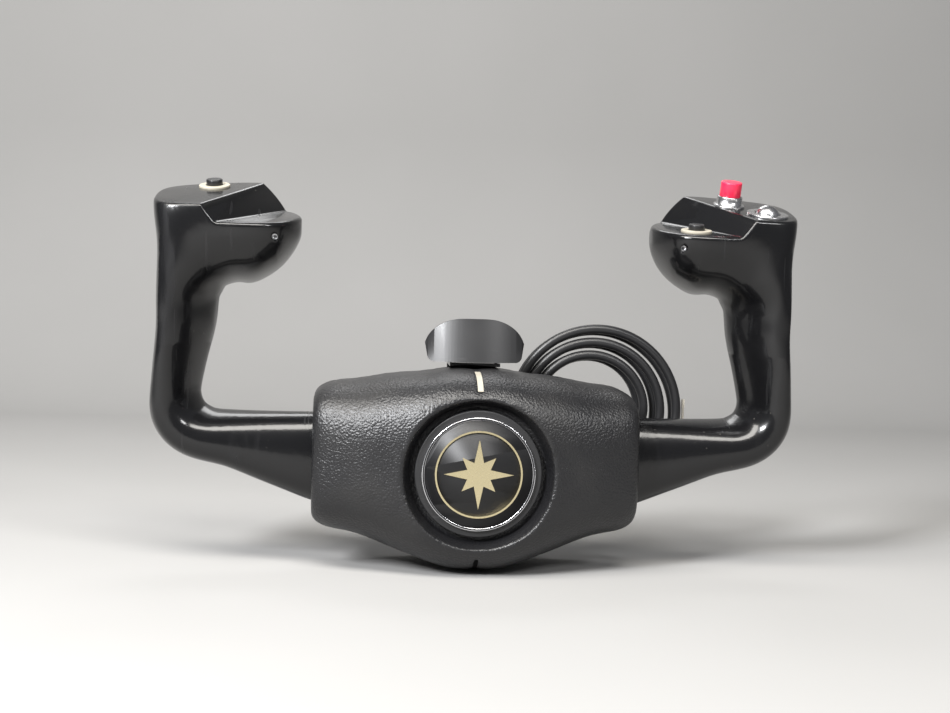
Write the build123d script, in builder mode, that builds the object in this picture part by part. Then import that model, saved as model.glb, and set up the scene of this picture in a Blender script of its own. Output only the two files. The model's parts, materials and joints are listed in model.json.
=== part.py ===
"""Aircraft control yoke: hub, two horns, switches, chart clip and cable, one STEP file per piece.

Frame: X to the pilot's right, Y forward along the shaft, Z up; origin at the mouth of the shaft bore.
"""
import math
import os

from build123d import *

os.makedirs("parts", exist_ok=True)

# Shaft socket, in millimetres like every length here
shaft_radius = 12.7
bore_depth = 46.0
boss_radius = 23.0
boss_length = 22.0
cross_hole_radius = 3.2
cross_hole_y = -11.0

# Levels along the shaft
cover_depth = 14.0
arm_gap = 2.0
arm_depth = 30.0
plate_thickness = 2.0
cover_back_y = -boss_length
parting_y = cover_back_y - cover_depth
arm_back_y = parting_y - arm_gap
arm_front_y = arm_back_y - arm_depth
arm_mid_y = (arm_back_y + arm_front_y) / 2
pad_floor_y = arm_front_y - plate_thickness

# Horn path
half_width = 190.0
arm_centre_z = 10.0
arm_root_x = 82.0
bend_x = 150.0
bend_z = 44.0
neck_x = 141.0
neck_z = 93.5
horn_roundness = 2.7

# Horn root and its bolts
spigot_height = 36.0
spigot_depth = 22.0
spigot_end_x = 57.0
spigot_clearance = 0.15
socket_wall = 4.0
socket_mouth_x = arm_root_x
horn_bolt_x = 69.0
horn_bolt_spread = 12.0
horn_bolt_radius = 2.5
bolt_clearance = 0.05
horn_bolt_head = 4.2
pad_bolt_x = 40.0
pad_bolt_spread = 16.0
pad_bolt_radius = 2.0

# Wiring
channel_radius = 3.2
harness_gap = 0.3
terminal_half_width = 15.0
pocket_width = 40.0
pocket_height = 32.0
pocket_depth = 18.0
lead_x = 11.0
lead_y = -57.0
lead_drop_z = -25.5
lead_radius = 2.4

# Head facets
top_front_z = 150.6
top_outer_z = 149.4
top_back_z = 167.0
thumb_front_z = 140.5
thumb_back_z = 150.3
facet_front_y = -76.0
facet_back_y = -14.0
ridge_front_x = 160.0
ridge_back_x = 123.5
step_run = 8.0
facet_fillet = 2.4
head_wall = 4.0
cavity_inner_x = 122.0
cavity_outer_x = 179.0
cavity_front_y = -62.0
cavity_back_y = -24.0
cavity_floor_z = 121.0

# Head access covers
hatch_x = 147.0
hatch_z = 136.0
hatch_width = 46.0
hatch_height = 24.0
hatch_thickness = 2.4
hatch_face_y = -14.6
hatch_ledge = 6.0
hatch_clearance = 0.15
hatch_screw_radius = 1.5
hatch_screw_head_radius = 2.6
lock_screw_x = 119.0
lock_screw_z = 133.0
lock_screw_radius = 1.7
lock_screw_length = 9.0

# Push buttons
button_radius = 4.8
button_height = 4.6
button_travel = 2.5
button_fit = 0.08
ring_radius = 9.2
ring_height = 1.2
stem_radius = 2.2
switch_radius = 7.4
bushing_radius = 6.2
switch_length = 17.0
lug_radius = 0.8
lug_length = 4.0
lug_share = 0.45
lug_room = 0.4
spring_wire = 0.35
left_button_x = 157.0
left_button_y = -31.0
right_button_x = 128.8
right_button_y = -59.0
red_radius = 6.35
red_height = 15.0
red_switch_radius = 9.2
red_bushing_radius = 7.7
collar_radius = 7.6
collar_height = 6.4
red_flange_radius = 9.4
red_flange_height = 1.2
red_x = 151.8
red_y = -42.0

# Trim rocker
trim_x = 171.0
trim_y = -60.0
trim_plate_radius = 12.4
trim_plate_height = 1.2
rocker_radius = 7.6
rocker_fit = 0.1
rocker_drop = 1.6
trim_pin_radius = 1.1
trim_body_radius = 10.2

# Hub pad
pad_half_length = 95.0
rim_radius = 44.5
recess_radius = 41.5
recess_floor_y = -90.0
rim_y = -104.0
pad_centre_z = 1.2
pad_cavity_top = 40.0
pad_cavity_bottom = -26.0
pad_cavity_half = 83.0
pad_well_radius = 33.0
notch_clearance = 1.0
strip_width = 3.2

# Medallion
cup_radius = 36.5
cup_height = 5.0
medal_ring_radius = 32.6
medal_ring_width = 1.8
medal_disc_radius = medal_ring_radius - medal_ring_width - 0.2
medal_disc_height = 2.0
stud_radius = 2.5
star_points = 8
star_radius = 20.0
star_waist = 7.2
star_height = 0.6

# Rear cover
cover_wall = 2.5
cover_inset = 1.6
cover_corner = 10.0
cover_screw_x = 50.0
cover_screw_spread = 15.0
cover_screw_radius = 1.5
post_radius = 4.0

# Chart clip
clip_neck_width = 30.0
clip_plate = 2.2
clip_shelf_z = 59.4
clip_front_y = -50.0
clip_pin_y = -28.0
clip_pin_z = 68.2
clip_pin_radius = 1.5
lever_width = 59.6
lever_bottom_z = 62.0
lever_top_z = 87.7
lever_thickness = 2.4

# Cable
cable_radius = 2.9
coil_x = 79.0
coil_z = 31.2
coil_outer_radius = 54.5
coil_hole_x = 72.5
coil_hole_z = 28.0
coil_hole_radius = 29.0
coil_thickness = 15.0
coil_gap = 4.0
gland_x = 34.0
gland_z = -30.0
tie_width = 3.6
tie_thickness = 1.0


def save(part, name):
    """Label one piece and write its STEP file."""
    part.label = name
    export_step(part, f"parts/{name}.step")


def plane_through(first, second, third):
    """A plane through three points, its normal upward."""
    origin = Vector(first)
    along = Vector(second) - origin
    normal = along.cross(Vector(third) - origin).normalized()
    if normal.Z < 0:
        normal = normal * -1
    return Plane(origin=origin, x_dir=along, z_dir=normal)


def top_plane(side):
    """The outer facet on top of a head; side is -1 for left and 1 for right."""
    return plane_through(
        (side * half_width, facet_front_y, top_outer_z),
        (side * ridge_front_x, facet_front_y, top_front_z),
        (side * (neck_x + 5), facet_back_y, top_back_z),
    )


def thumb_plane(side):
    """The inner facet under the thumb."""
    return plane_through(
        (side * (neck_x + 20), facet_front_y, thumb_front_z),
        (side * (neck_x - 10), facet_front_y, thumb_front_z),
        (side * ridge_back_x, facet_back_y, thumb_back_z),
    )


def step_plane(side):
    """The slope that drops from the outer facet to the thumb facet."""
    return plane_through(
        (side * ridge_front_x, facet_front_y, top_front_z),
        (side * ridge_back_x, facet_back_y, top_back_z),
        (side * (ridge_front_x - step_run), facet_front_y, thumb_front_z),
    )


def seat(plane, x, y):
    """A workplane standing on a facet at the given X and Y."""
    origin = plane.origin
    normal = plane.z_dir
    rise = (normal.X * (x - origin.X) + normal.Y * (y - origin.Y)) / normal.Z
    return Plane(origin=(x, y, origin.Z - rise), x_dir=(normal.Z, 0, -normal.X), z_dir=normal)


def horn_stations():
    """Sections along the left horn: origin, direction out, inner back, inner front, outer, front, back."""
    return [
        (-arm_root_x, bend_z, 270, 10.4, 17.4, 67.5, 68, 38),
        (-96, bend_z, 270, 10.4, 17.8, 65, 68, 38),
        (-110, bend_z, 270, 10.4, 18.2, 59.8, 68, 38),
        (-124, bend_z, 270, 10.4, 18.6, 54.4, 68, 38),
        (-137, bend_z, 270, 10.2, 19, 49.2, 68.3, 37.8),
        (-bend_x, bend_z, 270, 9.6, 19.4, 44.8, 69, 37.5),
        (-bend_x, bend_z, 247, 9, 21, 44, 69.5, 37),
        (-bend_x, bend_z, 225, 8.5, 23.4, 44.4, 70, 36),
        (-bend_x, bend_z, 202, 7.6, 24, 42.6, 71, 34),
        (-bend_x, bend_z, 180, 7, 23.5, 39.8, 72, 32),
        (-145, 64, 180, 7, 29, 43.2, 74, 30),
        (-140, 84, 180, 7, 32, 47, 75, 29),
        (-neck_x, neck_z, 180, 5, 31, 46.2, 75.5, 28),
        (-neck_x, neck_z, 158, 5.2, 29, 49.8, 76, 25),
        (-neck_x, neck_z, 140, 5.6, 26, 61, 76.5, 22),
        (-neck_x, neck_z, 126, 6, 24.5, 80.8, 77, 19),
        (-137, neck_z, 108, 6.3, 24.2, 85, 78, 15),
        (-128.5, neck_z, 90, 7.6, 24.8, 80, 77.8, 13),
        (-118, neck_z, 90, 16.2, 28.5, 73, 73.5, 16),
        (-111.1, neck_z, 90, 25, 34, 65, 65, 22),
        (-106.6, neck_z, 90, 34, 39, 56, 55, 31),
        (-104.6, neck_z, 90, 41, 43, 50.5, 48, 38),
    ]


def horn_outline(inner_back, inner_front, outer, front, back):
    """Points round one horn section, a rounded trapezoid that narrows to the front."""
    points = []
    count = 20
    for index in range(count):
        angle = 2 * math.pi * (index + 0.5) / count
        across = math.copysign(abs(math.cos(angle)) ** (2 / horn_roundness), math.cos(angle))
        ahead = math.copysign(abs(math.sin(angle)) ** (2 / horn_roundness), math.sin(angle))
        depth = (front + back) / 2 + (front - back) / 2 * ahead
        inner = inner_back + (inner_front - inner_back) * (ahead + 1) / 2
        points.append(((outer + inner) / 2 + (outer - inner) / 2 * across, depth))
    return points


def raw_horn():
    """The left horn before its facets and holes are cut."""
    with BuildPart() as body:
        for x, z, turn, inner_back, inner_front, outer, front, back in horn_stations():
            out = (math.cos(math.radians(turn)), 0, math.sin(math.radians(turn)))
            along = (out[2], 0, -out[0])
            with BuildSketch(Plane(origin=(x, 0, z), x_dir=out, z_dir=along)):
                with BuildLine():
                    Spline(*horn_outline(inner_back, inner_front, outer, front, back), periodic=True)
                make_face()
        loft()
    return body.part


def lies_on(edge, plane):
    """True for an edge that runs in the plane."""
    spots = [edge.position_at(share / 4) - plane.origin for share in range(5)]
    return all(abs(spot.dot(plane.z_dir)) < 0.05 for spot in spots)


def faceted_horn(side):
    """One horn with the two flat facets on its head, their edges rounded."""
    with BuildPart() as thumb_cut:
        with BuildSketch(thumb_plane(side)):
            Rectangle(240, 240)
        extrude(amount=80)
        slope = step_plane(side)
        split(bisect_by=slope, keep=Keep.TOP)
    with BuildPart() as horn:
        if side < 0:
            add(raw_horn())
        else:
            add(raw_horn().mirror(Plane.YZ))
        split(bisect_by=top_plane(side), keep=Keep.BOTTOM)
        add(thumb_cut.part, mode=Mode.SUBTRACT)
        planes = (top_plane(side), thumb_plane(side), step_plane(side))
        rims = [edge for edge in horn.edges() if any(lies_on(edge, plane) for plane in planes)]
        fillet(rims, facet_fillet)
    return horn.part


def facing(y):
    """A workplane across the shaft at this Y: local axes along X and Z, its normal toward the pilot."""
    return Plane(origin=(0, y, 0), x_dir=(1, 0, 0), z_dir=(0, -1, 0))


def rear_facing(x, y, z):
    """A workplane at a point, its normal away from the pilot."""
    return Plane(origin=(x, y, z), x_dir=(-1, 0, 0), z_dir=(0, 1, 0))


def wire_route(side):
    """The wiring route from the hub out to a head."""
    with BuildLine() as route:
        FilletPolyline(
            (side * terminal_half_width, arm_mid_y, arm_centre_z),
            (side * 105, arm_mid_y, arm_centre_z),
            (side * 172, arm_mid_y, 20),
            (side * 176, arm_mid_y, 60),
            (side * 168, arm_mid_y, cavity_floor_z + 4),
            radius=[60, 14, 60],
        )
    return route.wire()


def round_along(route, radius):
    """A round bar along a route."""
    with BuildPart() as bar:
        with BuildSketch(Plane(origin=route @ 0, z_dir=route % 0)):
            Circle(radius)
        sweep(path=route)
    return bar.part


def screws(planes, head_radius, head_height, shank_radius, length):
    """Socket-head screws, one on each workplane, the head standing on the plane."""
    with BuildPart() as group:
        for plane in planes:
            with BuildSketch(plane):
                Circle(head_radius)
            extrude(amount=head_height)
            with BuildSketch(plane.offset(head_height)):
                RegularPolygon(head_radius * 0.55, 6)
            extrude(amount=-head_height * 0.6, mode=Mode.SUBTRACT)
            with BuildSketch(plane):
                Circle(shank_radius)
            extrude(amount=-length)
    return group.part


hatch_floor_y = hatch_face_y - hatch_thickness
left_seat = seat(top_plane(-1), -left_button_x, left_button_y)
right_seat = seat(thumb_plane(1), right_button_x, right_button_y)
red_seat = seat(top_plane(1), red_x, red_y)
trim_seat = seat(top_plane(1), trim_x, trim_y)
trim_neck_radius = trim_body_radius - 0.8
seat_fit = 0.1


def head_cavity(side):
    """The hollow of a head, under its facets."""
    with BuildPart() as cavity:
        with BuildSketch(Plane.XY.offset(cavity_floor_z)):
            with Locations((side * (cavity_inner_x + cavity_outer_x) / 2, (cavity_front_y + cavity_back_y) / 2)):
                RectangleRounded(cavity_outer_x - cavity_inner_x, cavity_back_y - cavity_front_y, 5)
        extrude(amount=60)
        split(bisect_by=top_plane(side).offset(-head_wall), keep=Keep.BOTTOM)
        split(bisect_by=thumb_plane(side).offset(-head_wall), keep=Keep.BOTTOM)
    return cavity.part


def build_horn(side, seats):
    """A whole horn: spigot, wire channel, head hollow, hatch and a hole for each switch."""
    channel = round_along(wire_route(side), channel_radius)
    with BuildPart() as horn:
        add(faceted_horn(side))
        with BuildSketch(Plane.YZ.offset(side * arm_root_x)):
            with Locations((arm_mid_y, arm_centre_z)):
                RectangleRounded(spigot_depth, spigot_height, 3)
        extrude(amount=-side * (arm_root_x - spigot_end_x))
        add(channel, mode=Mode.SUBTRACT)
        add(head_cavity(side), mode=Mode.SUBTRACT)
        with BuildSketch(facing(hatch_floor_y)):
            with Locations((side * hatch_x, hatch_z)):
                RectangleRounded(hatch_width, hatch_height, 4)
        extrude(amount=-30, mode=Mode.SUBTRACT)
        with BuildSketch(facing(hatch_floor_y)):
            with Locations((side * hatch_x, hatch_z)):
                RectangleRounded(hatch_width - 2 * hatch_ledge, hatch_height - hatch_ledge, 3)
        extrude(amount=hatch_floor_y - cavity_back_y + 1, mode=Mode.SUBTRACT)
        with BuildSketch(facing(hatch_floor_y)):
            with Locations((side * hatch_x, hatch_z)):
                with GridLocations(hatch_width - hatch_ledge, 0, 2, 1):
                    Circle(hatch_screw_radius + bolt_clearance)
        extrude(amount=5.5, mode=Mode.SUBTRACT)
        with BuildSketch(facing(cavity_front_y + 1)):
            with Locations((side * lock_screw_x, lock_screw_z)):
                Circle(lock_screw_radius + bolt_clearance)
        extrude(amount=40, mode=Mode.SUBTRACT)
        with BuildSketch(facing(arm_back_y)):
            with Locations((side * horn_bolt_x, arm_centre_z)):
                with GridLocations(0, 2 * horn_bolt_spread, 1, 2):
                    Circle(horn_bolt_radius + bolt_clearance)
        extrude(amount=arm_depth, mode=Mode.SUBTRACT)
        for place, neck, body in seats:
            with BuildSketch(place.offset(5)):
                Circle(neck + seat_fit)
            extrude(amount=-head_wall - 6, mode=Mode.SUBTRACT)
            with BuildSketch(place.offset(-head_wall)):
                Circle(body + seat_fit)
            extrude(amount=-switch_length - 1, mode=Mode.SUBTRACT)
            with BuildSketch(place.offset(-head_wall - switch_length)):
                Circle(body * lug_share + lug_radius + lug_room)
            extrude(amount=-lug_length - lug_room, mode=Mode.SUBTRACT)
    return horn.part


# Horns, their wiring and their hatches
save(build_horn(-1, [(left_seat, bushing_radius, switch_radius)]), "left_horn")
right_seats = [
    (right_seat, bushing_radius, switch_radius),
    (red_seat, red_bushing_radius, red_switch_radius),
    (trim_seat, trim_neck_radius, trim_body_radius),
]
save(build_horn(1, right_seats), "right_horn")
save(round_along(wire_route(-1), channel_radius - harness_gap), "left_harness")
save(round_along(wire_route(1), channel_radius - harness_gap), "right_harness")


def head_hatch(side):
    """The plate over a head's rear opening."""
    with BuildPart() as hatch:
        with BuildSketch(facing(hatch_floor_y)):
            with Locations((side * hatch_x, hatch_z)):
                RectangleRounded(hatch_width - 2 * hatch_clearance, hatch_height - 2 * hatch_clearance, 4)
        extrude(amount=-hatch_thickness)
        fillet(hatch.faces().sort_by(Axis.Y)[-1].edges(), 0.8)
        with BuildSketch(facing(hatch_floor_y)):
            with Locations((side * hatch_x, hatch_z)):
                with GridLocations(hatch_width - hatch_ledge, 0, 2, 1):
                    Circle(hatch_screw_radius + bolt_clearance)
        extrude(amount=-hatch_thickness, mode=Mode.SUBTRACT)
    return hatch.part


save(head_hatch(-1), "left_head_cover")
save(head_hatch(1), "right_head_cover")
hatch_screw_planes = [
    rear_facing(side * (hatch_x + end * (hatch_width - hatch_ledge) / 2), hatch_face_y, hatch_z)
    for side in (-1, 1)
    for end in (-1, 1)
]
save(screws(hatch_screw_planes, hatch_screw_head_radius, 1.6, hatch_screw_radius, 7), "head_cover_screws")

lock_screw_face_y = -70.5
with BuildPart() as lock_screws:
    for side in (-1, 1):
        with BuildSketch(facing(lock_screw_face_y)):
            with Locations((side * lock_screw_x, lock_screw_z)):
                Circle(lock_screw_radius)
        extrude(amount=-lock_screw_length)
        with BuildSketch(facing(lock_screw_face_y)):
            with Locations((side * lock_screw_x, lock_screw_z)):
                RegularPolygon(0.9, 6)
        extrude(amount=-2, mode=Mode.SUBTRACT)
save(lock_screws.part, "switch_lock_screws")


# Hub casting
block_radius = 24.0
block_back_y = cover_back_y - cover_wall - 0.5
pocket_floor_y = arm_front_y + pocket_depth
with BuildPart() as hub_casting:
    with BuildSketch(facing(0)):
        Circle(boss_radius)
    extrude(amount=-block_back_y)
    with BuildSketch(facing(block_back_y)):
        Circle(block_radius)
    extrude(amount=block_back_y - arm_front_y)
    with BuildSketch(facing(arm_back_y)):
        with Locations((0, arm_centre_z)):
            RectangleRounded(2 * socket_mouth_x, spigot_height + 2 * socket_wall, 4)
    extrude(amount=arm_depth)
    with BuildSketch(facing(arm_back_y)):
        with Locations((0, arm_centre_z)):
            with GridLocations(2 * cover_screw_x, 2 * cover_screw_spread, 2, 2):
                Circle(post_radius)
    extrude(amount=arm_back_y - cover_back_y + cover_wall)
    fillet(hub_casting.edges().filter_by(GeomType.CIRCLE).group_by(Axis.Y)[-1], 1.0)
    with BuildSketch(facing(0)):
        Circle(shaft_radius)
    extrude(amount=bore_depth, mode=Mode.SUBTRACT)
    for side in (-1, 1):
        with BuildSketch(Plane.YZ.offset(side * socket_mouth_x)):
            with Locations((arm_mid_y, arm_centre_z)):
                RectangleRounded(spigot_depth + 2 * spigot_clearance, spigot_height + 2 * spigot_clearance, 3)
        extrude(amount=-side * (socket_mouth_x - spigot_end_x + spigot_clearance), mode=Mode.SUBTRACT)
    with BuildSketch(Plane.YZ.offset(-spigot_end_x)):
        with Locations((arm_mid_y, arm_centre_z)):
            Circle(channel_radius)
    extrude(amount=2 * spigot_end_x, mode=Mode.SUBTRACT)
    with BuildSketch(facing(arm_front_y)):
        with Locations((0, arm_centre_z)):
            RectangleRounded(pocket_width, pocket_height, 4)
    extrude(amount=-pocket_depth, mode=Mode.SUBTRACT)
    with BuildSketch(Plane.XY.offset(arm_centre_z)):
        with Locations((lead_x, lead_y)):
            Circle(lead_radius + harness_gap)
    extrude(amount=-60, mode=Mode.SUBTRACT)
    with BuildSketch(Plane.XY):
        with Locations((0, cross_hole_y)):
            Circle(cross_hole_radius)
    extrude(amount=boss_radius + 5, both=True, mode=Mode.SUBTRACT)
    with BuildSketch(facing(arm_back_y)):
        with Locations((0, arm_centre_z)):
            with GridLocations(2 * horn_bolt_x, 2 * horn_bolt_spread, 2, 2):
                Circle(horn_bolt_radius + bolt_clearance)
            with GridLocations(2 * pad_bolt_x, 2 * pad_bolt_spread, 2, 2):
                Circle(pad_bolt_radius + bolt_clearance)
    extrude(amount=arm_depth, mode=Mode.SUBTRACT)
    with BuildSketch(facing(cover_back_y - cover_wall)):
        with Locations((0, arm_centre_z)):
            with GridLocations(2 * cover_screw_x, 2 * cover_screw_spread, 2, 2):
                Circle(cover_screw_radius + bolt_clearance)
    extrude(amount=12, mode=Mode.SUBTRACT)
save(hub_casting.part, "hub_casting")


def pattern_planes(x, y, spread):
    """Four rear-facing workplanes in a rectangle about the arm centre."""
    return [
        rear_facing(across * x, y, arm_centre_z + up * spread)
        for across in (-1, 1)
        for up in (-1, 1)
    ]


horn_bolt_planes = pattern_planes(horn_bolt_x, arm_back_y, horn_bolt_spread)
save(screws(horn_bolt_planes, horn_bolt_head, 3.5, horn_bolt_radius, arm_depth - 2), "horn_bolts")
pad_bolt_planes = pattern_planes(pad_bolt_x, arm_back_y, pad_bolt_spread)
save(screws(pad_bolt_planes, 3.5, 3, pad_bolt_radius, arm_depth + plate_thickness), "pad_bolts")

with BuildPart() as terminal_block:
    with BuildSketch(facing(pocket_floor_y)):
        with Locations((0, arm_centre_z)):
            Rectangle(2 * terminal_half_width, 20)
    extrude(amount=10)
    with BuildSketch(facing(pocket_floor_y - 10)):
        with Locations((0, arm_centre_z)):
            with GridLocations(6, 8, 4, 2):
                Circle(1.6)
    extrude(amount=-3, mode=Mode.SUBTRACT)
save(terminal_block.part, "terminal_block")

# Hub pad and what is set in it
pad_half_stations = [
    (0, 58.2, -58.3, -105.0, 4.2),
    (20, 57.6, -56.6, -104.6, 4.2),
    (40, 55.0, -50.2, -102.0, 3.8),
    (60, 52.2, -43.0, -97.0, 3.4),
    (78, 49.6, -38.2, -91.5, 3.4),
    (87, 47.8, -36.0, -88.0, 3.8),
    (92.5, 44.6, -32.6, -85.0, 4.4),
    (pad_half_length, 40.4, -28.0, -81.0, 5.0),
]
pad_stations = [(-x, *rest) for x, *rest in reversed(pad_half_stations[1:])] + pad_half_stations


def pad_profile(top, bottom, front, roundness, inset=0.0, start=-90, stop=90, count=17):
    """Points on the pad's side view, from its lower rear edge round the front to the upper one."""
    points = []
    for index in range(count):
        angle = math.radians(start + (stop - start) * index / (count - 1))
        ahead = abs(math.cos(angle)) ** (2 / roundness)
        up = math.copysign(abs(math.sin(angle)) ** (2 / roundness), math.sin(angle))
        y = parting_y + (front + inset - parting_y) * ahead
        points.append((y, (top + bottom) / 2 + ((top - bottom) / 2 - inset) * up))
    return points


def strip_band(outer_inset, inner_inset, start, stop, width):
    """A band that follows the pad's middle section."""
    x, top, bottom, front, roundness = pad_half_stations[0]
    outside = pad_profile(top, bottom, front, roundness, outer_inset, start, stop, 9)
    inside = pad_profile(top, bottom, front, roundness, inner_inset, start, stop, 9)
    with BuildPart() as band:
        with BuildSketch(Plane.YZ):
            with BuildLine():
                Spline(*outside)
                Line(outside[-1], inside[-1])
                Spline(*inside)
                Line(inside[0], outside[0])
            make_face()
        extrude(amount=width / 2, both=True)
    return band.part


def notch_outline():
    """The arm's root section with the notch clearance round it, as Y and Z."""
    x, z, turn, inner_back, inner_front, outer, front, back = horn_stations()[0]
    grown = horn_outline(
        inner_back - notch_clearance,
        inner_front - notch_clearance,
        outer + notch_clearance,
        front + notch_clearance,
        back - notch_clearance,
    )
    return [(-depth, z - drop) for drop, depth in grown]


notch_top_z = bend_z - horn_stations()[0][3] + notch_clearance
notch_low_z = bend_z - horn_stations()[0][5] - notch_clearance
strip_low = 42
strip_high = 80
pad_axis = Axis((0, 0, pad_centre_z), (0, 1, 0))
with BuildPart() as hub_pad:
    for x, top, bottom, front, roundness in pad_stations:
        profile = pad_profile(top, bottom, front, roundness)
        with BuildSketch(Plane.YZ.offset(x)):
            with BuildLine():
                Spline(*profile)
                Line(profile[-1], profile[0])
            make_face()
    loft()
    with BuildSketch(Plane.XY.offset(pad_centre_z)):
        with BuildLine():
            Polyline(
                (0, recess_floor_y),
                (recess_radius - 2, recess_floor_y),
                (recess_radius, recess_floor_y - 6),
                (rim_radius, rim_y),
                (rim_radius + 6, rim_y - 20),
                (0, rim_y - 20),
                close=True,
            )
        make_face()
    revolve(axis=pad_axis, mode=Mode.SUBTRACT)
    with BuildSketch(facing(parting_y + 1)):
        with Locations((0, (pad_cavity_top + pad_cavity_bottom) / 2)):
            RectangleRounded(2 * pad_cavity_half, pad_cavity_top - pad_cavity_bottom, 6)
        Circle(pad_well_radius)
    extrude(amount=parting_y + 1 - pad_floor_y, mode=Mode.SUBTRACT)
    for side in (-1, 1):
        with BuildSketch(Plane.YZ.offset(side * (pad_half_length + 5))):
            with BuildLine():
                Spline(*notch_outline(), periodic=True)
            make_face()
            with Locations(((arm_mid_y + parting_y + 1) / 2, (notch_top_z + notch_low_z) / 2)):
                Rectangle(parting_y + 1 - arm_mid_y, notch_top_z - notch_low_z)
        extrude(amount=-side * (pad_half_length + 6 - pad_cavity_half), mode=Mode.SUBTRACT)
    with BuildSketch(facing(pad_floor_y + 1)):
        with Locations((0, pad_centre_z)):
            Circle(stud_radius + bolt_clearance)
    extrude(amount=pad_floor_y + 2 - recess_floor_y, mode=Mode.SUBTRACT)
    add(strip_band(-3, 1.2, strip_low, strip_high, strip_width + 0.2), mode=Mode.SUBTRACT)
    add(strip_band(-3, 1.2, -strip_high, -strip_low, strip_width + 0.2), mode=Mode.SUBTRACT)
save(hub_pad.part, "hub_pad")
save(strip_band(0.05, 1.2, strip_low + 1, strip_high - 1, strip_width), "index_strip")
save(strip_band(0.4, 1.2, 1 - strip_high, -strip_low - 1, strip_width), "seam_strip")

with BuildPart() as pad_plate:
    with BuildSketch(facing(arm_front_y)):
        with Locations((0, arm_centre_z - 3)):
            RectangleRounded(2 * pad_cavity_half - 8, 52, 6)
    extrude(amount=plate_thickness)
    with BuildSketch(facing(arm_front_y)):
        with Locations((0, pad_centre_z)):
            Circle(stud_radius + bolt_clearance)
        with Locations((0, arm_centre_z)):
            with GridLocations(2 * pad_bolt_x, 2 * pad_bolt_spread, 2, 2):
                Circle(pad_bolt_radius + bolt_clearance)
    extrude(amount=plate_thickness, mode=Mode.SUBTRACT)
save(pad_plate.part, "pad_backing_plate")

cup_face_y = recess_floor_y - cup_height
medal_face_y = cup_face_y - medal_disc_height
nut_height = 4.0
with BuildPart() as medal_cup:
    with BuildSketch(facing(recess_floor_y)):
        with Locations((0, pad_centre_z)):
            Circle(cup_radius)
    extrude(amount=cup_height)
    fillet(medal_cup.faces().sort_by(Axis.Y)[0].edges(), 1.0)
    with BuildSketch(facing(recess_floor_y)):
        with Locations((0, pad_centre_z)):
            Circle(stud_radius)
    extrude(amount=recess_floor_y - arm_front_y - nut_height - 1)
save(medal_cup.part, "medallion_cup")

with BuildPart() as medal_nut:
    with BuildSketch(facing(arm_front_y)):
        with Locations((0, pad_centre_z)):
            RegularPolygon(4.6, 6)
            Circle(stud_radius + bolt_clearance, mode=Mode.SUBTRACT)
    extrude(amount=-nut_height)
save(medal_nut.part, "medallion_nut")

with BuildPart() as medal_ring:
    with BuildSketch(facing(cup_face_y)):
        with Locations((0, pad_centre_z)):
            Circle(medal_ring_radius)
            Circle(medal_ring_radius - medal_ring_width, mode=Mode.SUBTRACT)
    extrude(amount=medal_disc_height)
    fillet(medal_ring.faces().sort_by(Axis.Y)[0].edges(), 0.5)
save(medal_ring.part, "medallion_ring")

with BuildPart() as medal_disc:
    with BuildSketch(facing(cup_face_y)):
        with Locations((0, pad_centre_z)):
            Circle(medal_disc_radius)
    extrude(amount=medal_disc_height)
save(medal_disc.part, "medallion_disc")

star_corners = []
for index in range(2 * star_points):
    reach = star_waist if index % 2 else star_radius * (1.0 if index % 4 == 0 else 0.68)
    angle = math.pi / 2 + math.pi * index / star_points
    star_corners.append((reach * math.cos(angle), pad_centre_z + reach * math.sin(angle)))
with BuildPart() as medal_motif:
    with BuildSketch(facing(medal_face_y)):
        with BuildLine():
            Polyline(*star_corners, close=True)
        make_face()
    extrude(amount=star_height)
    with BuildSketch(facing(medal_face_y)):
        with Locations((0, pad_centre_z)):
            Circle(star_radius + 5)
            Circle(star_radius + 4, mode=Mode.SUBTRACT)
    extrude(amount=star_height)
save(medal_motif.part, "medallion_motif")

# Rear cover
clip_screw_x = 9.0
clip_screw_z = 45.0
clip_screw_radius = 1.5
gland_sleeve_radius = 4.0


def cover_body(inset, start_y, stop_y):
    """A tapered block to the pad's outline, drawn in by the inset."""
    rims = [(x, top - inset, bottom + inset) for x, top, bottom, front, roundness in pad_stations]
    rims = [rim for rim in rims if abs(rim[0]) < pad_half_length - 1]
    scale = (pad_half_length - inset) / rims[-1][0]
    upper = [(x * scale, top) for x, top, bottom in rims]
    lower = [(x * scale, bottom) for x, top, bottom in reversed(rims)]
    with BuildPart() as block:
        with BuildSketch(facing(start_y)):
            with BuildLine():
                Spline(*upper)
                Line(upper[-1], lower[0])
                Spline(*lower)
                Line(lower[-1], upper[0])
            make_face()
        extrude(amount=start_y - stop_y)
        fillet(block.edges().filter_by(Axis.Y), cover_corner - inset)
    return block.part


with BuildPart() as rear_cover:
    add(cover_body(cover_inset, parting_y, cover_back_y))
    fillet(rear_cover.faces().sort_by(Axis.Y)[-1].edges(), 3.0)
    add(cover_body(cover_inset + cover_wall, parting_y, cover_back_y - cover_wall), mode=Mode.SUBTRACT)
    with BuildSketch(facing(cover_back_y)):
        Circle(boss_radius + 0.3)
        with Locations((gland_x, gland_z)):
            Circle(gland_sleeve_radius + bolt_clearance)
        with Locations((0, clip_screw_z)):
            with GridLocations(2 * clip_screw_x, 0, 2, 1):
                Circle(clip_screw_radius + bolt_clearance)
        with Locations((0, arm_centre_z)):
            with GridLocations(2 * cover_screw_x, 2 * cover_screw_spread, 2, 2):
                Circle(cover_screw_radius + bolt_clearance)
    extrude(amount=cover_wall + 1, mode=Mode.SUBTRACT)
save(rear_cover.part, "rear_cover")
cover_screw_planes = pattern_planes(cover_screw_x, cover_back_y, cover_screw_spread)
save(screws(cover_screw_planes, 3.0, 2.0, cover_screw_radius, 12), "rear_cover_screws")


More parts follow.
